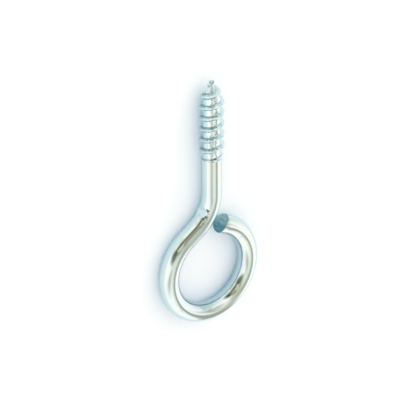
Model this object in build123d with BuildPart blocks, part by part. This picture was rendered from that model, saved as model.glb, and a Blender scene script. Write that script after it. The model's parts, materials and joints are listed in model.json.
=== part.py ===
"""Screw eye: one length of zinc-plated steel wire, rolled to a wood thread with a
gimlet point at one end and bent round to an open eye at the other. Millimetres.

The wire's centre line lies in one plane. That plane tips up a little, because the
piece lies on the floor on the far side of its eye and on its first full crest.
"""

import os
from math import acos, asin, atan2, cos, degrees, hypot, pi, radians, sin, sqrt, tan

from build123d import *

# The wire and the shape it is bent to
wire_diameter = 4.8
eye_inner_diameter = 17.8
neck_bend_radius = 10.3  # at the wire's centre line
neck_angle = 54.75  # how far the neck leans from the shank, in degrees
neck_straight = 3.8  # straight wire between the neck's bend and the eye
eye_mouth = 3.1  # open gap between the neck and the cut end
end_straight = 1.1  # straight wire left at the cut end
shank_length = 9.0  # plain wire between the neck's bend and the thread

# The sheared end: the cutter leaves half of it square and half of it sloping back
shear_slope = 20.0
shear_roll = 23.0  # the ridge between the halves, turned round the wire in degrees

# The wood thread
thread_length = 20.3  # from the plain shank to the very tip
thread_diameter = 6.0
core_diameter = 4.2
pitch = 2.8
flank_angle = 60.0  # between the two flanks of the ridge
shoulder_length = 0.4  # cone from the shank down to the core
runout_length = 2.4  # over which the ridge rises to its full height
thread_start_angle = -40.0  # where the ridge rises, from the top towards the right

# The gimlet point: core and crest each taper between two distances from the tip
tip_diameter = 1.1
core_taper_from, core_taper_to = 5.7, 1.7
crest_taper_from, crest_taper_to = 6.0, 1.0

# How the thread is built: its point is turned as cones, its ridge runs in arcs along
# each long edge, and the ridge's foot is sunk in the core
core_taper_cones = 3
arcs_per_turn = 4
ridge_sink = 0.15

wire_radius = wire_diameter / 2
eye_radius = eye_inner_diameter / 2 + wire_radius  # at the wire's centre line
crest_radius = thread_diameter / 2
core_radius = core_diameter / 2
tip_radius = tip_diameter / 2
tip_at = shank_length + thread_length

# The eye's centre, measured from where the neck starts to bend
lean = radians(neck_angle)
eye_x = (neck_bend_radius + eye_radius) * cos(lean) - neck_straight * sin(lean) - neck_bend_radius
eye_y = -(neck_bend_radius + eye_radius) * sin(lean) - neck_straight * cos(lean)

# The eye stops where the corner of its cut end is the mouth's width from the neck
bend_distance = hypot(eye_x + neck_bend_radius, eye_y)
bend_direction = atan2(-eye_y, -neck_bend_radius - eye_x)
corner_distance = hypot(eye_radius + wire_radius, end_straight)
corner_to_bend = neck_bend_radius + wire_radius + eye_mouth
corner_from_bend = acos(
    (bend_distance**2 + corner_distance**2 - corner_to_bend**2)
    / (2 * bend_distance * corner_distance)
)
end_step = atan2(end_straight, eye_radius + wire_radius)
eye_stop = degrees(bend_direction - corner_from_bend - end_step)
eye_turn = 180 + neck_angle + eye_stop

# The piece at rest on the floor, with the origin under the middle of its outline
first_crest_at = shank_length + runout_length
far_side = eye_y - eye_radius
tip_up = asin((crest_radius - wire_radius) / (first_crest_at - far_side))
wire_height = wire_radius - far_side * sin(tip_up)
middle = ((tip_at + far_side) * cos(tip_up) - wire_radius) / 2
wire_plane = Plane(
    origin=(-eye_x, -middle, wire_height),
    x_dir=(1, 0, 0),
    z_dir=(0, -sin(tip_up), cos(tip_up)),
)


def ogive(along, start, length, drop):
    """How far a pointed arch that starts square to the axis has closed in, up to its drop."""
    gone = min(max(along - start, 0), length)
    arch_radius = (length**2 + drop**2) / (2 * drop)
    return arch_radius - sqrt(arch_radius**2 - gone**2)


def core_reach(along):
    """The core's radius at a distance along the shank."""
    length = core_taper_from - core_taper_to
    return core_radius - ogive(along, tip_at - core_taper_from, length, core_radius - tip_radius)


def crest_reach(along):
    """The crest's radius, which rises at the run-out and falls at the point."""
    length = crest_taper_from - crest_taper_to
    buried = tip_radius - ridge_sink / 2
    fall = ogive(along, tip_at - crest_taper_from, length, crest_radius - buried)
    rise = ogive(-along, -first_crest_at, runout_length, crest_radius - core_radius)
    return crest_radius - rise - fall


def ridge_point(turn, side):
    """A point on the ridge's crest (side 0) or on its foot towards the shank (-1) or tip (1)."""
    angle = radians(thread_start_angle) + 2 * pi * turn
    along = shank_length + pitch * turn
    crest = crest_reach(along)
    foot = core_reach(along) - ridge_sink
    half_width = (crest - foot) * tan(radians(flank_angle / 2))
    reach = foot if side else crest
    return (reach * sin(angle), along + side * half_width, reach * cos(angle))


def ridge_edge(side):
    """One long edge of the ridge, as arcs in a row."""
    turns = (thread_length - crest_taper_to) / pitch
    steps = 2 * round(turns * arcs_per_turn)
    points = [ridge_point(turns * step / steps, side) for step in range(steps + 1)]
    with BuildLine(wire_plane):
        return [ThreePointArc(*points[i : i + 3]) for i in range(0, steps, 2)]


def ridge():
    """The thread's ridge as a solid: two flanks and a base of ruled faces, and two ends."""
    edges = [ridge_edge(-1), ridge_edge(0), ridge_edge(1)]
    faces = []
    for wall in range(3):
        faces += map(Face.make_surface_from_curves, edges[wall - 1], edges[wall])
    for corners in ([arcs[0] @ 0 for arcs in edges], [arcs[-1] @ 1 for arcs in edges]):
        faces.append(Face(Wire.make_polygon(corners, close=True)))
    return Solid(Shell(faces))


with BuildPart() as screw_eye:
    # The bent wire: shank, neck, eye and the straight at the cut end
    with BuildLine(wire_plane) as centre_line:
        shank = Line((0, shank_length), (0, 0))
        neck_bend = JernArc(shank @ 1, shank % 1, neck_bend_radius, -neck_angle)
        neck = Line(neck_bend @ 1, neck_bend @ 1 + (neck_bend % 1) * neck_straight)
        eye = JernArc(neck @ 1, neck % 1, eye_radius, eye_turn)
        end = Line(eye @ 1, eye @ 1 + (eye % 1) * end_straight)
    with BuildSketch(Plane(shank @ 0, x_dir=wire_plane.x_dir, z_dir=shank % 0)):
        Circle(wire_radius)
    sweep()

    # The sheared end: a wedge comes off the outer half, down to the ridge
    outward = (end % 1).cross(wire_plane.z_dir)
    cut_plane = Plane(end @ 1, x_dir=outward, z_dir=end % 1).rotated((0, 0, shear_roll))
    with BuildSketch(Plane(cut_plane.origin, x_dir=cut_plane.x_dir, z_dir=-cut_plane.y_dir)):
        with BuildLine():
            drop = wire_diameter * tan(radians(shear_slope))
            Polyline((0, 0), (wire_diameter, 0), (wire_diameter, -drop), close=True)
        make_face()
    extrude(amount=wire_diameter, both=True, mode=Mode.SUBTRACT)

    # The thread's core: shoulder, cylinder, gimlet point and blunt tip
    with BuildSketch(wire_plane):
        with BuildLine():
            taper_step = (core_taper_from - core_taper_to) / core_taper_cones
            taper_stops = [core_taper_from - i * taper_step for i in range(core_taper_cones + 1)]
            Polyline(
                (0, shank_length),
                (wire_radius, shank_length),
                (core_radius, shank_length + shoulder_length),
                *[(core_reach(tip_at - stop), tip_at - stop) for stop in taper_stops],
                (tip_radius, tip_at),
                (0, tip_at),
                (0, shank_length),
            )
        make_face()
    revolve(axis=Axis(wire_plane.origin, wire_plane.y_dir))

    add(ridge())

screw_eye.part.label = "screw_eye"
os.makedirs("parts", exist_ok=True)
export_step(screw_eye.part, "parts/screw_eye.step")
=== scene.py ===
"""Screw eye: one length of bright zinc-plated steel wire, lying on pale studio paper.

The wire is rolled to a wood thread with a gimlet point at one end and bent round to an
open eye at the other. It is modelled in the plane of its own centre line, with its origin
where the neck starts to bend and Y along the shank, and laid in the frame at the end.
Lengths are metres.
"""

import json
from math import acos, atan2, cos, degrees, hypot, pi, radians, sin, sqrt, tan

import bmesh
import bpy
from bpy.props import FloatProperty, FloatVectorProperty, PointerProperty
from mathutils import Matrix, Vector, noise


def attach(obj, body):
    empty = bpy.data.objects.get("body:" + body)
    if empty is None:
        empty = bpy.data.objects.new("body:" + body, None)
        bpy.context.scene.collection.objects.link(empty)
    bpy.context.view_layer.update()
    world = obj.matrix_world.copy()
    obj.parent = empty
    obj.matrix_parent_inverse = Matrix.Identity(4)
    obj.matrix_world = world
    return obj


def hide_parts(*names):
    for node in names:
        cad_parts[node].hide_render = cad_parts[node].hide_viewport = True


bl_info = {
    "name": "Screw Eye",
    "version": (1, 0, 0),
    "blender": (4, 5, 0),
    "location": "View3D > Sidebar > Screw Eye",
    "description": "A plated screw eye and the studio it lies in",
    "category": "Add Mesh",
}

MM = 0.001

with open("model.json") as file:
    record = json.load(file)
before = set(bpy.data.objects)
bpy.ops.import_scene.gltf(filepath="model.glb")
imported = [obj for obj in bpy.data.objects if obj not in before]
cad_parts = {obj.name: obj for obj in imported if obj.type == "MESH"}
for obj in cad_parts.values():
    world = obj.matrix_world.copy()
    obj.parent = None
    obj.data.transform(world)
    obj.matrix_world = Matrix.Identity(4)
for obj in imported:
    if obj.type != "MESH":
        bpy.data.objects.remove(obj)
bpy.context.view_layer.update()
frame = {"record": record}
mounts = {mount["name"]: mount for mount in frame["record"]["mounts"]}
thread_mount = mounts["thread"]
eye_mount = mounts["eye"]

ROUND_STEPS = 96  # sides of the wire's round section
NECK_STEPS = 56
EYE_STEPS = 168

SAME_PLACE = 0.001 * MM  # vertices nearer than this are merged
ON_CUT_PLANE = 0.0001 * MM  # a vertex nearer than this lies on the cut
AT_JOINT = 0.01 * MM  # how far from a joint its edges are looked for
SMOOTH_BELOW = radians(32)  # edges that turn less are shaded smooth

# The blunt tip's dome: its length, and its rings from the foot up, each with its share of
# that length and its width as a share of the ring's before it
DOME = 0.5 * MM
DOME_RINGS = ((0.5, 0.87), (0.3, 0.69), (0.15, 0.52), (0.05, 0.3))

# The bending pin's place on the neck, in degrees along the bend and round the wire from
# its outer side, and its radius
PIN_AT = (30.5, 168)
PIN_RADIUS = 1.6 * MM

# The dents beside its groove: the same two angles, then size and depth in mm
PIN_DENTS = ((22, 134, 0.55, 0.08), (35, 140, 1.3, 0.12), (43, 123, 0.5, 0.04))


def linear(hex_colour):
    """The linear colour that an sRGB hex colour such as "#C8D2D6" stands for."""
    parts = [int(hex_colour[i : i + 2], 16) / 255 for i in (1, 3, 5)]
    return [p / 12.92 if p <= 0.04045 else ((p + 0.055) / 1.055) ** 2.4 for p in parts]


def length_setting(name, description, default_mm):
    """A length that a user would change, given in millimetres."""
    return FloatProperty(
        name=name, description=description, default=default_mm * MM, min=0, unit="LENGTH"
    )


def angle_setting(name, description, default_degrees):
    """An angle that a user would change, given in degrees."""
    return FloatProperty(
        name=name,
        description=description,
        default=radians(default_degrees),
        unit="ROTATION",
    )


def colour_setting(name, description, hex_colour):
    """A colour that a user would change, given as sRGB hex."""
    return FloatVectorProperty(
        name=name,
        description=description,
        default=linear(hex_colour),
        subtype="COLOR",
        min=0,
        max=1,
    )


class WireSizes(bpy.types.PropertyGroup):
    """The wire and the shape it is bent to."""

    diameter: length_setting("Wire", "Diameter of the plain wire", 4.8)
    eye_inner: length_setting(
        "Eye", "Inner diameter of the eye", 2 * eye_mount["dims"]["r_mm"]
    )
    neck_radius: length_setting("Neck radius", "Of the bend, at the wire's middle", 10.3)
    neck_angle: angle_setting("Neck angle", "How far the neck leans from the shank", 54.75)
    neck_straight: length_setting("Neck", "Straight wire between neck bend and eye", 3.8)
    mouth: length_setting("Mouth", "Gap between the neck and the cut end", 2.55)
    end_straight: length_setting("End", "Straight wire left at the cut end", 1.65)
    shank: length_setting("Shank", "Plain wire between neck bend and thread", 9.0)
    shear_slope: angle_setting("Shear slope", "How the sheared half of the end slopes", 26)
    shear_roll: angle_setting("Shear roll", "How the end's ridge is turned", 5)
    pin_depth: length_setting("Pin", "Depth of the bending pin's groove", 0.42)
    rim: length_setting("Rim", "Rounding of the cut end's rim", 0.3)


class ThreadSizes(bpy.types.PropertyGroup):
    """The rolled wood thread and its gimlet point."""

    length: length_setting(
        "Length", "From plain shank to tip", thread_mount["dims"]["length_mm"]
    )
    diameter: length_setting(
        "Diameter", "Across the crests", 2 * thread_mount["dims"]["r_mm"]
    )
    core: length_setting("Core", "Diameter between the ridges", 4.2)
    pitch: length_setting("Pitch", "From one crest to the next", 2.8)
    flank_angle: angle_setting("Flanks", "Angle between the ridge's two flanks", 60)
    crest_round: length_setting("Crest", "Rounding of the crest", 0.2)
    root_round: length_setting("Root", "Rounding where flank meets core", 0.14)
    shoulder: length_setting("Shoulder", "Length of the step down to the core", 0.4)
    runout: length_setting("Run-out", "Over which the ridge rises", 2.4)
    start_angle: angle_setting("Start", "Where the ridge rises, from the top", -40)
    tip_short: length_setting("Tip wear", "How much shorter the point is rolled", 0.4)
    unevenness: length_setting("Unevenness", "Of the rolled surface", 0.08)
    tip: length_setting("Tip", "Diameter of the blunt tip", 1.1)
    core_taper_from: length_setting("Core taper from", "Distance from the tip", 5.3)
    core_taper_to: length_setting("Core taper to", "Distance from the tip", 1.3)
    crest_taper_from: length_setting("Crest taper from", "Distance from the tip", 5.6)
    crest_taper_to: length_setting("Crest taper to", "Distance from the tip", 0.6)


class FinishColours(bpy.types.PropertyGroup):
    """The colours of the plating, the paper and the studio round them."""

    zinc: colour_setting("Zinc", "Bright zinc plate", "#EAF2F3")
    zinc_blue: colour_setting("Blue cast", "The blue of the clear passivate", "#E2EFF3")
    zinc_yellow: colour_setting("Warm cast", "Where the passivate runs warm", "#EDEFE2")
    # Painted shade: the eye's inside, darker and bluer as the mirrored shaded paper makes
    # it
    eye_painted_shade: colour_setting("Eye cast", "Passivate drained inside the eye", "#D2E1EA")
    thread_blue: colour_setting("Thread cast", "Passivate pooled in the thread", "#EAF6FA")
    # Painted shade: the foot of the thread's ridge, deeper on one side of the wire
    thread_painted_shade: colour_setting("Thread", "Zinc at the foot of the ridge", "#9DB8BE")
    shear_bright: colour_setting("Shear, bright", "Burnished half of the cut", "#B2D2D6")
    shear_dull: colour_setting("Shear, dull", "Torn half of the cut", "#82B6CA")
    paper: colour_setting("Paper", "The floor", "#F3F3F3")
    paper_shade: colour_setting("Paper in shade", "What shade never takes away", "#30617F")
    paper_mirrored: colour_setting("Paper, mirrored", "As the plating shows it", "#DDF3FF")
    sky: colour_setting("Sky", "The soft light all round", "#FFF5E8")
    walls: colour_setting("Walls", "The room that the plating mirrors", "#F2EEE9")
    lamp: colour_setting("Lamp", "The large soft lamp", "#FFFBF4")


class StudioSettings(bpy.types.PropertyGroup):
    """Where the camera and the lamp stand."""

    azimuth: angle_setting("Azimuth", "Camera round the piece", 228.08)
    elevation: angle_setting("Elevation", "Camera above the floor", 46.31)
    roll: angle_setting("Roll", "Camera turned about its line of sight", 122.47)
    distance: length_setting("Distance", "From camera to piece", 1000)
    field: length_setting("Field", "Height that the picture takes in", 97.3)
    lamp_azimuth: angle_setting("Lamp azimuth", "Lamp round the piece", 40)
    lamp_elevation: angle_setting("Lamp elevation", "Lamp above the floor", 30)


def deselect_all():
    """Leaves no object selected, as an operator acts on all that are."""
    if bpy.context.object and bpy.context.object.mode != "OBJECT":
        bpy.ops.object.mode_set(mode="OBJECT")
    bpy.ops.object.select_all(action="DESELECT")


def pick(piece, wanted, kind="verts"):
    """Selects in edit mode only the vertices, edges or faces that are wanted."""
    mode = {"verts": "VERT", "edges": "EDGE", "faces": "FACE"}[kind]
    bpy.ops.mesh.select_mode(type=mode)
    bpy.ops.mesh.select_all(action="DESELECT")
    mesh = bmesh.from_edit_mesh(piece.data)
    for element in getattr(mesh, kind):
        if wanted(element):
            element.select_set(True)
    bmesh.update_edit_mesh(piece.data)


def pointed_arch(gone, length, drop):
    """How far an arch that starts square to the axis has closed in after going some way."""
    gone = min(max(gone, 0), length)
    radius = (length**2 + drop**2) / (2 * drop)
    return radius - sqrt(radius**2 - gone**2)


def smooth_step(value, start, stop):
    """0 before start, 1 after stop, and a smooth rise between."""
    share = min(max((value - start) / (stop - start), 0), 1)
    return share * share * (3 - 2 * share)


class ScrewEyeShape:
    """The piece's lengths and radii, worked out from the settings."""

    def __init__(self, wire, thread):
        self.wire, self.thread = wire, thread
        self.radius = wire.diameter / 2
        self.eye_radius = wire.eye_inner / 2 + self.radius
        self.core = thread.core / 2
        self.crest = thread.diameter / 2
        self.tip_radius = thread.tip / 2
        self.tip_at = wire.shank + thread.length - thread.tip_short
        lean = wire.neck_angle
        self.neck_centre = Vector((-wire.neck_radius, 0, 0))
        self.heading = Vector((-sin(lean), -cos(lean), 0))  # of the straight neck
        self.left = Vector((-self.heading.y, self.heading.x, 0))
        self.bend_end = self.neck_centre + wire.neck_radius * self.left
        self.neck_end = self.bend_end + wire.neck_straight * self.heading
        self.eye_centre = self.neck_end + self.eye_radius * self.left
        self.eye_turn = pi + lean + self.eye_stop()
        self.bend_length = wire.neck_radius * lean
        self.eye_starts = self.bend_length + wire.neck_straight

    def eye_stop(self):
        """The turn past half a circle at which the cut end is the mouth's width off."""
        to_neck = self.neck_centre - self.eye_centre
        outside = self.eye_radius + self.radius
        corner = hypot(outside, self.wire.end_straight)
        reach = self.wire.neck_radius + self.radius + self.wire.mouth
        apart = to_neck.length
        between = acos((apart**2 + corner**2 - reach**2) / (2 * apart * corner))
        past_bend = atan2(self.wire.end_straight, outside)
        return atan2(to_neck.y, to_neck.x) - between - past_bend

    def core_at(self, along):
        """The core's radius: shoulder, cylinder, gimlet point and rounded tip."""
        thread = self.thread
        step = self.radius - self.core
        shoulder = step * (1 - smooth_step(along - self.wire.shank, 0, thread.shoulder))
        to_tip = self.tip_at - along
        length = thread.core_taper_from - thread.core_taper_to
        gone = thread.core_taper_from - to_tip
        point = pointed_arch(gone, length, self.core - self.tip_radius)
        return self.core + shoulder - point

    def crest_at(self, along):
        """The crest's radius, which rises at the run-out and falls at the point."""
        thread = self.thread
        length = thread.crest_taper_from - thread.crest_taper_to
        gone = along - (self.tip_at - thread.crest_taper_from)
        fall = pointed_arch(gone, length, self.crest - self.tip_radius)
        full_at = self.wire.shank + thread.runout
        rise = pointed_arch(full_at - along, thread.runout, self.crest - self.core)
        return self.crest - fall - rise

    def crest_distance(self, point):
        """How far along the wire a point is from the nearest turn of the crest."""
        pitch = self.thread.pitch
        if point.y < self.wire.shank:
            return pitch
        turned = self.thread.start_angle - atan2(point.x, point.z)
        gone = point.y - self.wire.shank + pitch * turned / (2 * pi)
        return abs((gone + pitch / 2) % pitch - pitch / 2)

    def straightened(self, point):
        """Where a point would lie if the wire were straight: left, up and along it.

        Left is as seen when going from the thread to the eye, so it is the eye's inside.
        Along is counted from where the neck starts to bend.
        """
        wire = self.wire
        places = [(point.x, -point.y)] if point.y >= 0 else []
        arm = point - self.neck_centre
        turn = atan2(-arm.y, arm.x)
        if 0 <= turn <= wire.neck_angle:
            places.append((arm.xy.length - wire.neck_radius, wire.neck_radius * turn))
        arm = point - self.bend_end
        gone = arm.dot(self.heading)
        if 0 <= gone <= wire.neck_straight:
            places.append((arm.dot(self.left), self.bend_length + gone))
        arm = point - self.eye_centre
        starts = self.neck_end - self.eye_centre
        turn = (atan2(arm.y, arm.x) - atan2(starts.y, starts.x)) % (2 * pi)
        cut_end = 0.2  # radians, in which the end's straight wire lies
        if turn <= self.eye_turn + cut_end:
            along = self.eye_starts + self.eye_radius * turn
            places.append((self.eye_radius - arm.xy.length, along))
        left, along = min(places, key=lambda place: abs(place[0]))
        return left, point.z, along


def roll_thread(piece, shape):
    """The thread: a ridge's outline wound round the shank, cut to length and tapered."""
    thread, wire = shape.thread, shape.wire
    half_flank = thread.flank_angle / 2
    rounded_off = thread.crest_round * (1 - sin(half_flank)) / cos(half_flank)
    rise = shape.crest + rounded_off - shape.core
    half_foot = rise * tan(half_flank)
    floor = thread.pitch / 2 - half_foot
    turns_before = 2
    crest_starts = wire.shank - thread.start_angle / (2 * pi) * thread.pitch
    outline_starts = crest_starts - turns_before * thread.pitch - thread.pitch / 2

    # One ridge in outline, from the middle of one root to the middle of the next
    bpy.ops.object.mode_set(mode="EDIT")
    bpy.ops.mesh.select_all(action="SELECT")
    bpy.ops.mesh.merge(type="CENTER")
    bpy.ops.transform.translate(value=(0, outline_starts, shape.core))
    for move in ((floor, 0), (half_foot, rise), (half_foot, -rise), (floor, 0)):
        bpy.ops.mesh.extrude_vertices_move(TRANSFORM_OT_translate={"value": (0, *move)})
    halfway = shape.core + rise / 2
    pick(piece, lambda v: v.co.z > halfway)
    bpy.ops.mesh.bevel(offset=thread.crest_round, segments=5, affect="VERTICES")
    pick(piece, lambda v: v.co.z < halfway and len(v.link_edges) == 2)
    bpy.ops.mesh.bevel(offset=thread.root_round, segments=3, affect="VERTICES")
    pick(piece, lambda e: e.calc_length() > floor / 2, "edges")
    bpy.ops.mesh.subdivide(number_cuts=4)
    bpy.ops.object.mode_set(mode="OBJECT")

    winding = piece.modifiers.new("Winding", "SCREW")
    winding.axis = "Y"
    winding.angle = 2 * pi
    winding.screw_offset = thread.pitch
    winding.iterations = int(thread.length / thread.pitch) + turns_before + 2
    winding.steps = winding.render_steps = ROUND_STEPS
    bpy.ops.object.modifier_apply(modifier=winding.name)

    # Cut square at the shank and at the tip, with rings where the shoulder curves
    bpy.ops.object.mode_set(mode="EDIT")
    bpy.ops.mesh.select_all(action="SELECT")
    bpy.ops.mesh.remove_doubles(threshold=SAME_PLACE)
    cuts = [(wire.shank, "inner"), (shape.tip_at, "outer")]
    cuts += [(wire.shank + thread.shoulder * share, "") for share in (0.25, 0.5, 0.75, 1)]
    cuts += [(shape.tip_at - thread.core_taper_to, "")]
    for along, side in cuts:
        bpy.ops.mesh.select_all(action="SELECT")
        bpy.ops.mesh.bisect(
            plane_co=(0, along, 0),
            plane_no=(0, 1, 0),
            clear_inner=side == "inner",
            clear_outer=side == "outer",
            threshold=ON_CUT_PLANE,
        )
    bpy.ops.mesh.select_all(action="SELECT")
    bpy.ops.mesh.remove_doubles(threshold=SAME_PLACE)
    bpy.ops.object.mode_set(mode="OBJECT")

    # The ridge rises, the core narrows to a point, and the crest runs down to it. The
    # rolled surface is a little uneven, in waves of about a millimetre.
    wave = 0.9 * MM
    rolled_crest = max(hypot(vertex.co.x, vertex.co.z) for vertex in piece.data.vertices)
    for vertex in piece.data.vertices:
        co = vertex.co
        reach = hypot(co.x, co.z)
        height = (reach - shape.core) / (rolled_crest - shape.core)
        core = shape.core_at(co.y)
        crest = max(shape.crest_at(co.y), core)
        wanted = core + height * (crest - core)
        if wire.shank + thread.shoulder < co.y < shape.tip_at - DOME:
            wanted += thread.unevenness * noise.noise(co / wave)
        co.x *= wanted / reach
        co.z *= wanted / reach

    # The blunt tip closes over a small dome
    bpy.ops.object.mode_set(mode="EDIT")
    at_tip = shape.tip_at - SAME_PLACE
    pick(piece, lambda e: e.is_boundary and min(v.co.y for v in e.verts) > at_tip, "edges")
    bpy.ops.transform.translate(value=(0, -DOME, 0))
    for forward, narrower in DOME_RINGS:
        bpy.ops.mesh.extrude_edges_move(
            TRANSFORM_OT_translate={"value": (0, DOME * forward, 0)}
        )
        bpy.ops.transform.resize(
            value=(narrower, 1, narrower), center_override=(0, 0, 0)
        )
    bpy.ops.mesh.edge_face_add()


def bend_wire(piece, shape):
    """The plain wire: a round section drawn along the shank and spun round neck and eye."""
    wire = shape.wire
    collar = 0.12 * MM  # plain wire between the thread's cut edge and the first ring
    joint = wire.shank - collar
    bpy.ops.mesh.primitive_circle_add(
        vertices=ROUND_STEPS,
        radius=shape.radius,
        location=(0, joint, 0),
        rotation=(pi / 2, 0, 0),
    )

    def beside_collar(edge):
        ends = [vertex.co.y for vertex in edge.verts]
        inside = joint - AT_JOINT < min(ends) and max(ends) < wire.shank + AT_JOINT
        return inside and (edge.is_boundary or edge.is_wire)

    def at_ring(edge):
        return edge.is_boundary and all(
            abs(vertex.co.y - joint) < AT_JOINT for vertex in edge.verts
        )

    pick(piece, beside_collar, "edges")
    bpy.ops.mesh.bridge_edge_loops()
    pick(piece, at_ring, "edges")
    bpy.ops.mesh.extrude_edges_move(TRANSFORM_OT_translate={"value": (0, -joint, 0)})
    bpy.ops.mesh.spin(
        steps=NECK_STEPS, angle=wire.neck_angle, center=shape.neck_centre, axis=(0, 0, 1)
    )
    straight = shape.heading * wire.neck_straight
    bpy.ops.mesh.extrude_edges_move(TRANSFORM_OT_translate={"value": straight})
    bpy.ops.mesh.spin(
        steps=EYE_STEPS, angle=shape.eye_turn, center=shape.eye_centre, axis=(0, 0, -1)
    )
    end_heading = Matrix.Rotation(shape.eye_turn, 3, "Z") @ shape.heading
    cut_off = 0.5 * MM  # what the shears take
    bpy.ops.mesh.extrude_edges_move(
        TRANSFORM_OT_translate={"value": end_heading * (wire.end_straight + cut_off)}
    )
    return end_heading


def shear_end(piece, shape, end_heading):
    """The sheared end: a square cut, then a sloping one over its outer half."""
    wire = shape.wire
    inwards = Vector((-end_heading.y, end_heading.x, 0))
    eye_end = shape.eye_centre - shape.eye_radius * inwards
    end = eye_end + wire.end_straight * end_heading
    outward = Matrix.Rotation(wire.shear_roll, 3, end_heading) @ -inwards
    slope_turn = Matrix.Rotation(wire.shear_slope, 3, end_heading.cross(outward))
    near_end = 1.2 * shape.radius

    def close_by(face):
        arm = face.calc_center_median() - end
        return arm.length < near_end and arm.dot(end_heading) < wire.mouth / 2

    cuts = (end_heading, slope_turn @ end_heading)
    for normal in cuts:
        pick(piece, close_by, "faces")
        bpy.ops.mesh.bisect(
            plane_co=end,
            plane_no=normal,
            clear_outer=True,
            use_fill=True,
            threshold=ON_CUT_PLANE,
        )
    bpy.ops.mesh.select_all(action="SELECT")
    bpy.ops.mesh.normals_make_consistent(inside=False)

    sharp = radians(12)

    def on_rim(edge):
        near = all((vertex.co - end).length < near_end for vertex in edge.verts)
        return near and edge.is_manifold and edge.calc_face_angle() > sharp

    pick(piece, on_rim, "edges")
    bpy.ops.mesh.bevel(offset=wire.rim, segments=4, affect="EDGES", clamp_overlap=True)

    # The cut metal is duller than the rim
    def inside_rim(face):
        arm = face.calc_center_median() - end
        off_axis = arm - arm.dot(end_heading) * end_heading
        return close_by(face) and off_axis.length < shape.radius - wire.rim

    pick(piece, inside_rim, "faces")
    piece.active_material_index = 1
    bpy.ops.object.material_slot_assign()

    # A narrow border keeps the two cut faces flat where the rim's shading is smooth
    border = 0.04 * MM
    parallel = 0.9999

    def on_cut(face):
        return close_by(face) and any(face.normal.dot(cut) > parallel for cut in cuts)

    pick(piece, on_cut, "faces")
    bpy.ops.mesh.inset(thickness=border, use_individual=True)


def press_marks(piece, shape):
    """What the bending pin leaves inside the neck's bend: a groove and small dents."""
    wire = shape.wire
    up = Vector((0, 0, 1))

    def on_neck(bend, around):
        outward = Vector((cos(radians(bend)), -sin(radians(bend)), 0))
        normal = cos(radians(around)) * outward + sin(radians(around)) * up
        middle = shape.neck_centre + wire.neck_radius * outward
        return middle + shape.radius * normal, normal, outward.cross(up)

    surface, normal, along = on_neck(*PIN_AT)
    axis = normal.cross(along)
    pin = surface + (PIN_RADIUS - wire.pin_depth) * normal
    for vertex in piece.data.vertices:
        arm = vertex.co - pin
        across = arm - arm.dot(axis) * axis
        if across.length < PIN_RADIUS and arm.length < 2 * shape.radius:
            vertex.co += (PIN_RADIUS - across.length) * across.normalized()
    for bend, around, size, depth in PIN_DENTS:
        surface, normal, along = on_neck(bend, around)
        for vertex in piece.data.vertices:
            away = (vertex.co - surface).length / (size * MM)
            if away < 1:
                vertex.co -= depth * MM * (1 - away**2) ** 2 * normal


def lay_in_frame(piece):
    """Moves the finished mesh to its place in the frame."""
    axis = Vector(thread_mount["axis"]).normalized()
    up = Vector(eye_mount["axis"]).normalized()
    across = axis.cross(up)
    shoulder = Vector(thread_mount["pos_m"])
    origin = shoulder - axis * bpy.context.scene.screw_eye_wire.shank
    turn = Matrix((across, axis, up)).transposed().to_4x4()
    piece.matrix_world = Matrix.Translation(origin) @ turn
    bpy.ops.object.transform_apply(location=True, rotation=True, scale=True)


# Settings that many nodes share. A mix of colours takes them at its inputs 6 and 7, and
# gives the result at its output 2.
MIX_COLOURS = {"data_type": "RGBA"}
SMOOTH_RISE = {"interpolation_type": "SMOOTHSTEP"}
ADD = {"operation": "ADD"}
MULTIPLY = {"operation": "MULTIPLY"}
MULTIPLY_ADD = {"operation": "MULTIPLY_ADD"}
DOT_PRODUCT = {"operation": "DOT_PRODUCT"}


def add_node(tree, kind, settings=None, **links):
    """Adds a node, sets its properties, and links or sets its inputs.

    An input is given by its name, or by its number after an underscore.
    """
    node = tree.nodes.new(kind)
    for name, value in (settings or {}).items():
        setattr(node, name, value)
    for name, value in links.items():
        number = name[1:]
        socket = node.inputs[int(number) if number.isdigit() else name.replace("_", " ")]
        if isinstance(value, bpy.types.NodeSocket):
            tree.links.new(value, socket)
        else:
            socket.default_value = value
    return node


def with_alpha(colour):
    """A colour as a socket takes it."""
    return (*colour, 1)


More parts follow.
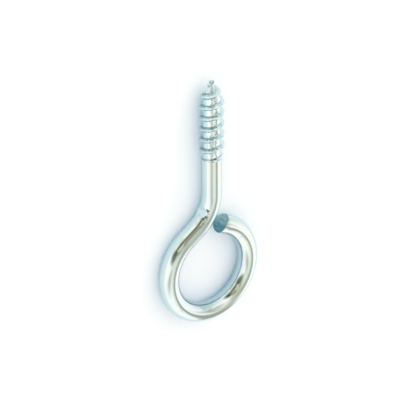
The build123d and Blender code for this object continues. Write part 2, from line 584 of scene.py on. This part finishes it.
def bright_zinc_plate(colours, tip_at, eye_starts):
    """Bright zinc over drawn steel wire: electroplated, dipped in clear blue passivate.

    The zinc copies the drawn wire under it, so it is near mirror-bright, with faint dull
    lines along the wire and a slow drift from blue to straw where the passivate is thicker.
    """
    material = bpy.data.materials.new("bright_zinc_plate_clear_passivate")
    material.use_nodes = True
    tree = material.node_tree
    shader = tree.nodes["Principled BSDF"]
    place = add_node(tree, "ShaderNodeTexCoord").outputs["Object"]
    straight = add_node(
        tree, "ShaderNodeAttribute", {"attribute_name": "straightened"}
    ).outputs["Vector"]

    # The passivate's cast changes over about 9 mm
    drift = add_node(
        tree, "ShaderNodeTexNoise", Vector=place, Scale=1 / (9 * MM), Detail=2.0
    ).outputs["Fac"]
    cast = add_node(
        tree, "ShaderNodeMapRange", Value=drift, From_Min=0.35, From_Max=0.65
    ).outputs["Result"]
    cool = add_node(
        tree,
        "ShaderNodeMix",
        MIX_COLOURS,
        Factor=cast,
        _6=with_alpha(colours.zinc_blue),
        _7=with_alpha(colours.zinc),
    ).outputs[2]
    warm_spots = add_node(
        tree, "ShaderNodeMapRange", Value=drift, From_Min=0.55, From_Max=0.8, To_Max=0.5
    ).outputs["Result"]
    colour = add_node(
        tree,
        "ShaderNodeMix",
        MIX_COLOURS,
        Factor=warm_spots,
        _6=cool,
        _7=with_alpha(colours.zinc_yellow),
    ).outputs[2]

    # Painted shade: the inside of the eye is made darker and bluer, as the shaded paper
    # mirrored there would make it, from 1.5 mm off the wire's middle
    sides = add_node(tree, "ShaderNodeSeparateXYZ", Vector=straight)
    inwards = add_node(
        tree,
        "ShaderNodeMapRange",
        SMOOTH_RISE,
        Value=sides.outputs["X"],
        From_Min=1.5 * MM,
        From_Max=2.3 * MM,
    ).outputs["Result"]
    in_eye = add_node(
        tree,
        "ShaderNodeMapRange",
        SMOOTH_RISE,
        Value=sides.outputs["Z"],
        From_Min=eye_starts - 1 * MM,
        From_Max=eye_starts + 3 * MM,
    ).outputs["Result"]
    eye_shade_mask = add_node(
        tree, "ShaderNodeMath", MULTIPLY, _0=inwards, _1=in_eye
    ).outputs["Value"]
    colour = add_node(
        tree,
        "ShaderNodeMix",
        MIX_COLOURS,
        Factor=eye_shade_mask,
        _6=colour,
        _7=with_alpha(colours.eye_painted_shade),
    ).outputs[2]

    # The passivate pools in the rolled thread, so its cast is bluer there too
    distance = add_node(
        tree, "ShaderNodeAttribute", {"attribute_name": "from_crest"}
    ).outputs["Fac"]
    in_thread = add_node(
        tree,
        "ShaderNodeMapRange",
        Value=distance,
        From_Min=2.6 * MM,
        From_Max=1.6 * MM,
    ).outputs["Result"]
    colour = add_node(
        tree,
        "ShaderNodeMix",
        MIX_COLOURS,
        Factor=in_thread,
        _6=colour,
        _7=with_alpha(colours.thread_blue),
    ).outputs[2]

    # At the ridge's foot, about 0.2 to 0.8 mm from the crest, the zinc is rougher and has
    # painted shade
    uneven = add_node(
        tree, "ShaderNodeTexNoise", Vector=place, Scale=1 / (0.5 * MM), Detail=2.0
    ).outputs["Fac"]
    wavy = add_node(
        tree, "ShaderNodeMath", MULTIPLY_ADD, _0=uneven, _1=0.8 * MM, _2=distance
    ).outputs["Value"]
    past_crest = add_node(
        tree,
        "ShaderNodeMapRange",
        SMOOTH_RISE,
        Value=wavy,
        From_Min=0.6 * MM,
        From_Max=0.85 * MM,
    ).outputs["Result"]
    before_root = add_node(
        tree,
        "ShaderNodeMapRange",
        SMOOTH_RISE,
        Value=wavy,
        From_Min=1.25 * MM,
        From_Max=1.0 * MM,
    ).outputs["Result"]
    at_foot = add_node(
        tree, "ShaderNodeMath", MULTIPLY, _0=past_crest, _1=before_root
    ).outputs["Value"]

    # The painted shade is deeper on the wire's side at negative X, and the point is rougher
    shaded_side = add_node(
        tree,
        "ShaderNodeMapRange",
        Value=sides.outputs["X"],
        From_Min=1.8 * MM,
        From_Max=-1.8 * MM,
        To_Min=0.1,
    ).outputs["Result"]
    on_point = add_node(
        tree,
        "ShaderNodeMapRange",
        Value=sides.outputs["Z"],
        From_Min=4.5 * MM - tip_at,
        From_Max=3.0 * MM - tip_at,
    ).outputs["Result"]
    painted_foot_shade = add_node(
        tree, "ShaderNodeMath", MULTIPLY, _0=at_foot, _1=shaded_side
    ).outputs["Value"]
    colour = add_node(
        tree,
        "ShaderNodeMix",
        MIX_COLOURS,
        Factor=painted_foot_shade,
        _6=colour,
        _7=with_alpha(colours.thread_painted_shade),
    ).outputs[2]

    # Die lines: 0.12 mm wide across the wire, and about 6 mm long
    stretched = add_node(
        tree, "ShaderNodeMapping", Vector=straight, Scale=(1, 1, 1 / 50)
    ).outputs["Vector"]
    lines = add_node(
        tree, "ShaderNodeTexNoise", Vector=stretched, Scale=1 / (0.12 * MM), Detail=1.0
    ).outputs["Fac"]
    grain = add_node(
        tree, "ShaderNodeTexNoise", Vector=place, Scale=1 / (0.5 * MM), Detail=3.0
    ).outputs["Fac"]
    both = add_node(
        tree, "ShaderNodeMath", ADD, _0=lines, _1=grain
    ).outputs["Value"]
    smooth = add_node(
        tree,
        "ShaderNodeMapRange",
        Value=both,
        From_Min=0.7,
        From_Max=1.3,
        To_Min=0.015,
        To_Max=0.06,
    ).outputs["Result"]
    rough = add_node(
        tree, "ShaderNodeMath", MULTIPLY_ADD, _0=at_foot, _1=0.06, _2=smooth
    ).outputs["Value"]
    rough = add_node(
        tree, "ShaderNodeMath", MULTIPLY_ADD, _0=on_point, _1=0.35, _2=rough
    ).outputs["Value"]
    bump = add_node(
        tree, "ShaderNodeBump", Height=both, Strength=0.05, Distance=0.05 * MM
    ).outputs["Normal"]
    tree.links.new(colour, shader.inputs["Base Color"])
    tree.links.new(rough, shader.inputs["Roughness"])
    tree.links.new(bump, shader.inputs["Normal"])
    shader.inputs["Metallic"].default_value = 1
    return material


def sheared_end(colours):
    """Sheared steel under thin zinc: a burnished, streaked half and a torn, dull half.

    The zinc doesn't level the torn metal, so it hardly mirrors, and the passivate pools in
    it to a deeper blue.
    """
    material = bpy.data.materials.new("sheared_steel_thin_zinc")
    material.use_nodes = True
    tree = material.node_tree
    shader = tree.nodes["Principled BSDF"]
    straight = add_node(
        tree, "ShaderNodeAttribute", {"attribute_name": "straightened"}
    ).outputs["Vector"]
    left = add_node(tree, "ShaderNodeSeparateXYZ", Vector=straight).outputs["X"]

    # Streaks 0.3 mm wide, along the way the blade went, and tears of 0.6 mm
    across = add_node(
        tree, "ShaderNodeMapping", Vector=straight, Scale=(1, 1 / 6, 1)
    ).outputs["Vector"]
    streaks = add_node(
        tree, "ShaderNodeTexNoise", Vector=across, Scale=1 / (0.3 * MM), Detail=2.0
    ).outputs["Fac"]
    tears = add_node(
        tree, "ShaderNodeTexNoise", Vector=straight, Scale=1 / (0.6 * MM), Detail=4.0
    ).outputs["Fac"]
    wavy = add_node(
        tree, "ShaderNodeMath", MULTIPLY_ADD, _0=tears, _1=1.2 * MM, _2=left
    ).outputs["Value"]
    torn = add_node(
        tree, "ShaderNodeMapRange", Value=wavy, From_Min=0.3 * MM, From_Max=0.8 * MM
    ).outputs["Result"]
    colour = add_node(
        tree,
        "ShaderNodeMix",
        MIX_COLOURS,
        Factor=torn,
        _6=with_alpha(colours.shear_bright),
        _7=with_alpha(colours.shear_dull),
    ).outputs[2]
    relief = add_node(
        tree, "ShaderNodeMath", ADD, _0=streaks, _1=tears
    ).outputs["Value"]
    shade = add_node(
        tree,
        "ShaderNodeMapRange",
        Value=relief,
        From_Min=0.7,
        From_Max=1.3,
        To_Min=0.6,
        To_Max=1.15,
    ).outputs["Result"]
    varied = add_node(
        tree, "ShaderNodeVectorMath", {"operation": "SCALE"}, Vector=colour, Scale=shade
    ).outputs["Vector"]
    rough = add_node(
        tree, "ShaderNodeMapRange", Value=torn, To_Min=0.3, To_Max=0.45
    ).outputs["Result"]
    bump = add_node(
        tree, "ShaderNodeBump", Height=relief, Strength=0.4, Distance=0.1 * MM
    ).outputs["Normal"]
    tree.links.new(varied, shader.inputs["Base Color"])
    tree.links.new(rough, shader.inputs["Roughness"])
    tree.links.new(bump, shader.inputs["Normal"])
    shader.inputs["Metallic"].default_value = 1
    return material


def matt_paper(colours):
    """Seamless studio paper: uncoated, so its white has no sheen and only shade shows."""
    material = bpy.data.materials.new("seamless_studio_paper")
    material.use_nodes = True
    tree = material.node_tree
    tree.nodes.clear()
    rays = add_node(tree, "ShaderNodeLightPath").outputs
    colour = add_node(
        tree,
        "ShaderNodeMix",
        MIX_COLOURS,
        Factor=rays["Is Glossy Ray"],
        _6=with_alpha(colours.paper),
        _7=with_alpha(colours.paper_mirrored),
    ).outputs[2]
    sheet = add_node(tree, "ShaderNodeBsdfDiffuse", Color=colour).outputs["BSDF"]
    lift = add_node(
        tree,
        "ShaderNodeEmission",
        Color=with_alpha(colours.paper_shade),
        Strength=rays["Is Camera Ray"],
    ).outputs["Emission"]
    surface = add_node(tree, "ShaderNodeAddShader", _0=sheet, _1=lift).outputs["Shader"]
    add_node(tree, "ShaderNodeOutputMaterial", Surface=surface)
    return material


# What stands round the table, as the plating mirrors it, from the back to the front. Each
# card is an ellipse: azimuth and elevation of its middle, half width and half height, tilt,
# all in degrees, how soft its edge is as a share of its size, its colour, and how much it
# covers of what is behind it.
CARDS = (
    ("ceiling", -19, 108, 13.8, 33.8, -5, 0.62, "#C6CDBB", 0.79),
    ("window_bars", 110, 5, 65.7, 29.1, -33, 0.12, "#A1AA9D", 0.65),
    ("window", 100, 1, 38, 51.7, -5, 0.09, "#F7F3EF", 0.87),
    ("curtain", 48, 8, 26, 32, 48, 0.9, "#96B9BD", 0.75),
    ("lintel", 76, 57, 21, 12, -17, 0.55, "#889291", 0.65),
    ("corner", 141, 60, 6.5, 18, 7, 0.5, "#ABB1A5", 1),
    ("door", 149, 10, 9.5, 68, 8, 0.43, "#989C94", 1),
    ("lamp_stand", -130, 52, 19, 12.9, 79, 0.95, "#ACB4A6", 0.99),
    ("grey_flag", -52, 59, 12.7, 46.7, -7, 0.56, "#ABAF9F", 0.88),
    ("left_flag", -68, 41, 12.1, 25.6, 15, 0.49, "#2B3417", 0.77),
    ("right_flag", -13, 47, 7.75, 18.3, 5, 0.91, "#3A503D", 0.98),
    ("pale_card", -44, 50, 8.31, 13.5, -10, 0.05, "#C7C3B3", 1),
    ("dark_flag", -30, 34, 21.5, 14.2, -7, 0.53, "#383707", 0.86),
    ("table_edge", -33, 12, 18.5, 11.7, 43, 0.7, "#CFD1BE", 0.88),
    ("boom", -25, 65, 4.9, 15.9, -5, 0.47, "#8B886F", 0.8),
    ("blind_gap", -27, 11, 1.74, 11.2, -3, 0.93, "#FAF2E8", 0.85),
    ("lamp_arm", -66, 69, 3.18, 12.5, -7, 0.47, "#969990", 0.9),
    ("shelf", 100, 57, 43.9, 2.93, 6, 0.49, "#9DA599", 0.65),
)

# Strengths of the room: the light that falls on the piece and the paper, what the plating
# mirrors, and the white that is seen past the paper
SKY_STRENGTH = 1.09
MIRRORED_STRENGTH = 1.3
WHITE_STRENGTH = 1.0

# The paper's side, and the lamp's distance and side, in metres, and its power in watts
PAPER_SIDE = 6
LAMP_AWAY = 0.7
LAMP_SIDE = 0.9
LAMP_POWER = 0.9

# What the camera looks at, beside the shank's foot, and how far right of it and above it
# the middle of the picture is. SENSOR is in mm, as Blender has it.
AIM = Vector((0.937, -7.807, 2.699)) * MM
AIM_RIGHT = -1.07 * MM
AIM_UP = 5.128 * MM
SENSOR = 36
FARTHEST_SEEN = 10


def towards(azimuth, elevation):
    """The direction at an azimuth from +Y towards +X and an elevation, in degrees."""
    a, e = radians(azimuth), radians(elevation)
    return Vector((sin(a) * cos(e), cos(a) * cos(e), sin(e)))


def studio_world(colours):
    """The room: plain soft light for the paper, and cards that the plating mirrors."""
    world = bpy.data.worlds.new("soft_white_room")
    bpy.context.scene.world = world
    world.use_nodes = True
    tree = world.node_tree
    tree.nodes.clear()
    ray = add_node(tree, "ShaderNodeTexCoord").outputs["Generated"]
    seen = with_alpha(colours.walls)
    for name, azimuth, elevation, *half_sizes, tilt, softness, tint, cover in CARDS:
        middle = towards(azimuth, elevation)
        tilted = Matrix.Rotation(radians(-tilt), 3, middle)
        across = tilted @ towards(azimuth + 90, 0)
        upward = middle.cross(across)
        shares = []
        for direction, half_size in zip((across, upward), half_sizes):
            dot = add_node(
                tree, "ShaderNodeVectorMath", DOT_PRODUCT, _0=ray, _1=direction
            ).outputs["Value"]
            share = add_node(
                tree,
                "ShaderNodeMath",
                {"operation": "DIVIDE"},
                _0=dot,
                _1=sin(radians(half_size)),
            ).outputs["Value"]
            shares.append(share)
        spread = add_node(
            tree, "ShaderNodeCombineXYZ", X=shares[0], Y=shares[1]
        ).outputs["Vector"]
        distance = add_node(
            tree, "ShaderNodeVectorMath", {"operation": "LENGTH"}, _0=spread
        ).outputs["Value"]
        mask = add_node(
            tree,
            "ShaderNodeMapRange",
            SMOOTH_RISE,
            Value=distance,
            From_Min=1 + softness,
            From_Max=1 - softness,
            To_Max=cover,
        ).outputs["Result"]
        facing = add_node(
            tree, "ShaderNodeVectorMath", DOT_PRODUCT, _0=ray, _1=middle
        ).outputs["Value"]
        in_front = add_node(
            tree, "ShaderNodeMath", {"operation": "GREATER_THAN"}, _0=facing, _1=0.0
        ).outputs["Value"]
        amount = add_node(
            tree, "ShaderNodeMath", MULTIPLY, _0=mask, _1=in_front
        ).outputs["Value"]
        seen = add_node(
            tree,
            "ShaderNodeMix",
            {**MIX_COLOURS, "label": name},
            Factor=amount,
            _6=seen,
            _7=with_alpha(linear(tint)),
        ).outputs[2]

    rays = add_node(tree, "ShaderNodeLightPath").outputs
    soft_light = add_node(
        tree, "ShaderNodeBackground", Color=with_alpha(colours.sky), Strength=SKY_STRENGTH
    ).outputs["Background"]
    mirrored = add_node(
        tree, "ShaderNodeBackground", Color=seen, Strength=MIRRORED_STRENGTH
    ).outputs["Background"]
    white = add_node(
        tree, "ShaderNodeBackground", Color=(1, 1, 1, 1), Strength=WHITE_STRENGTH
    ).outputs["Background"]
    lit = add_node(
        tree, "ShaderNodeMixShader", _0=rays["Is Glossy Ray"], _1=soft_light, _2=mirrored
    ).outputs["Shader"]
    whole = add_node(
        tree, "ShaderNodeMixShader", _0=rays["Is Camera Ray"], _1=lit, _2=white
    ).outputs["Shader"]
    add_node(tree, "ShaderNodeOutputWorld", Surface=whole)


class SCREWEYE_OT_add_piece(bpy.types.Operator):
    """Adds the screw eye, finished and plated, in place of the plain CAD solid"""

    bl_idname = "screw_eye.add_piece"
    bl_label = "Screw eye"

    def execute(self, context):
        scene = context.scene
        shape = ScrewEyeShape(scene.screw_eye_wire, scene.screw_eye_thread)
        deselect_all()
        bpy.ops.mesh.primitive_plane_add(size=shape.radius)
        piece = context.object
        piece.name = piece.data.name = "plated_screw_eye"
        colours = scene.screw_eye_colours
        plate = bright_zinc_plate(colours, shape.tip_at, shape.eye_starts)
        for finish in (plate, sheared_end(colours)):
            piece.data.materials.append(finish)
        roll_thread(piece, shape)
        end_heading = bend_wire(piece, shape)
        shear_end(piece, shape, end_heading)
        bpy.ops.object.mode_set(mode="OBJECT")
        press_marks(piece, shape)

        straightened = piece.data.attributes.new("straightened", "FLOAT_VECTOR", "POINT")
        for vertex, value in zip(piece.data.vertices, straightened.data):
            value.vector = shape.straightened(vertex.co)
        from_crest = piece.data.attributes.new("from_crest", "FLOAT", "POINT")
        for vertex, distance in zip(piece.data.vertices, from_crest.data):
            distance.value = shape.crest_distance(vertex.co)

        bpy.ops.object.shade_smooth_by_angle(angle=SMOOTH_BELOW)
        lay_in_frame(piece)
        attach(piece, "root")
        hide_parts("screw_eye")
        return {"FINISHED"}


class SCREWEYE_OT_add_stage(bpy.types.Operator):
    """Adds the paper, the lamp, the room and the camera"""

    bl_idname = "screw_eye.add_stage"
    bl_label = "Studio"

    def execute(self, context):
        scene = context.scene
        colours, studio = scene.screw_eye_colours, scene.screw_eye_studio
        deselect_all()
        bpy.ops.mesh.primitive_plane_add(size=PAPER_SIDE, location=(0, 0, 0))
        paper = context.object
        paper.name = "studio_paper"
        paper.data.materials.append(matt_paper(colours))
        studio_world(colours)

        direction = towards(degrees(studio.lamp_azimuth), degrees(studio.lamp_elevation))
        bpy.ops.object.light_add(type="AREA", location=direction * LAMP_AWAY)
        lamp = context.object
        lamp.name = "large_soft_lamp"
        lamp.rotation_euler = direction.to_track_quat("Z", "Y").to_euler()
        lamp.data.shape = "RECTANGLE"
        lamp.data.size = lamp.data.size_y = LAMP_SIDE
        lamp.data.energy = LAMP_POWER
        lamp.data.color = colours.lamp
        lamp.visible_glossy = False

        # The camera's azimuth is counted from -Y towards +X
        a, e = studio.azimuth, studio.elevation
        back = Vector((sin(a) * cos(e), -cos(a) * cos(e), sin(e)))
        level = Vector((cos(a), sin(a), 0))
        upright = back.cross(level)
        right = cos(studio.roll) * level + sin(studio.roll) * upright
        up = back.cross(right)
        target = AIM + AIM_RIGHT * right + AIM_UP * up
        bpy.ops.object.camera_add(location=target + back * studio.distance)
        camera = context.object
        camera.name = "studio_camera"
        camera.rotation_euler = Matrix((right, up, back)).transposed().to_euler()
        camera.data.sensor_width = SENSOR
        camera.data.lens = SENSOR * studio.distance / studio.field
        camera.data.clip_end = FARTHEST_SEEN
        scene.camera = camera
        scene.view_settings.view_transform = "Standard"
        return {"FINISHED"}


class SCREWEYE_PT_sidebar(bpy.types.Panel):
    """The screw eye's settings and its two operators"""

    bl_label = "Screw Eye"
    bl_idname = "SCREWEYE_PT_sidebar"
    bl_space_type = "VIEW_3D"
    bl_region_type = "UI"
    bl_category = "Screw Eye"

    def draw(self, context):
        for name, group in SETTINGS.items():
            settings = getattr(context.scene, name)
            box = self.layout.box()
            for prop in group.__annotations__:
                box.prop(settings, prop)
        self.layout.operator(SCREWEYE_OT_add_piece.bl_idname)
        self.layout.operator(SCREWEYE_OT_add_stage.bl_idname)


SETTINGS = {
    "screw_eye_wire": WireSizes,
    "screw_eye_thread": ThreadSizes,
    "screw_eye_colours": FinishColours,
    "screw_eye_studio": StudioSettings,
}
CLASSES = (
    *SETTINGS.values(),
    SCREWEYE_OT_add_piece,
    SCREWEYE_OT_add_stage,
    SCREWEYE_PT_sidebar,
)


def register():
    """Registers the classes, and gives the scene its settings."""
    for cls in CLASSES:
        bpy.utils.register_class(cls)
    for name, group in SETTINGS.items():
        setattr(bpy.types.Scene, name, PointerProperty(type=group))


def unregister():
    """Undoes register."""
    for name in SETTINGS:
        delattr(bpy.types.Scene, name)
    for cls in reversed(CLASSES):
        bpy.utils.unregister_class(cls)


def main():
    """Makes the piece and the stage."""
    register()
    bpy.ops.screw_eye.add_piece()
    bpy.ops.screw_eye.add_stage()


if __name__ == "__main__":
    main()
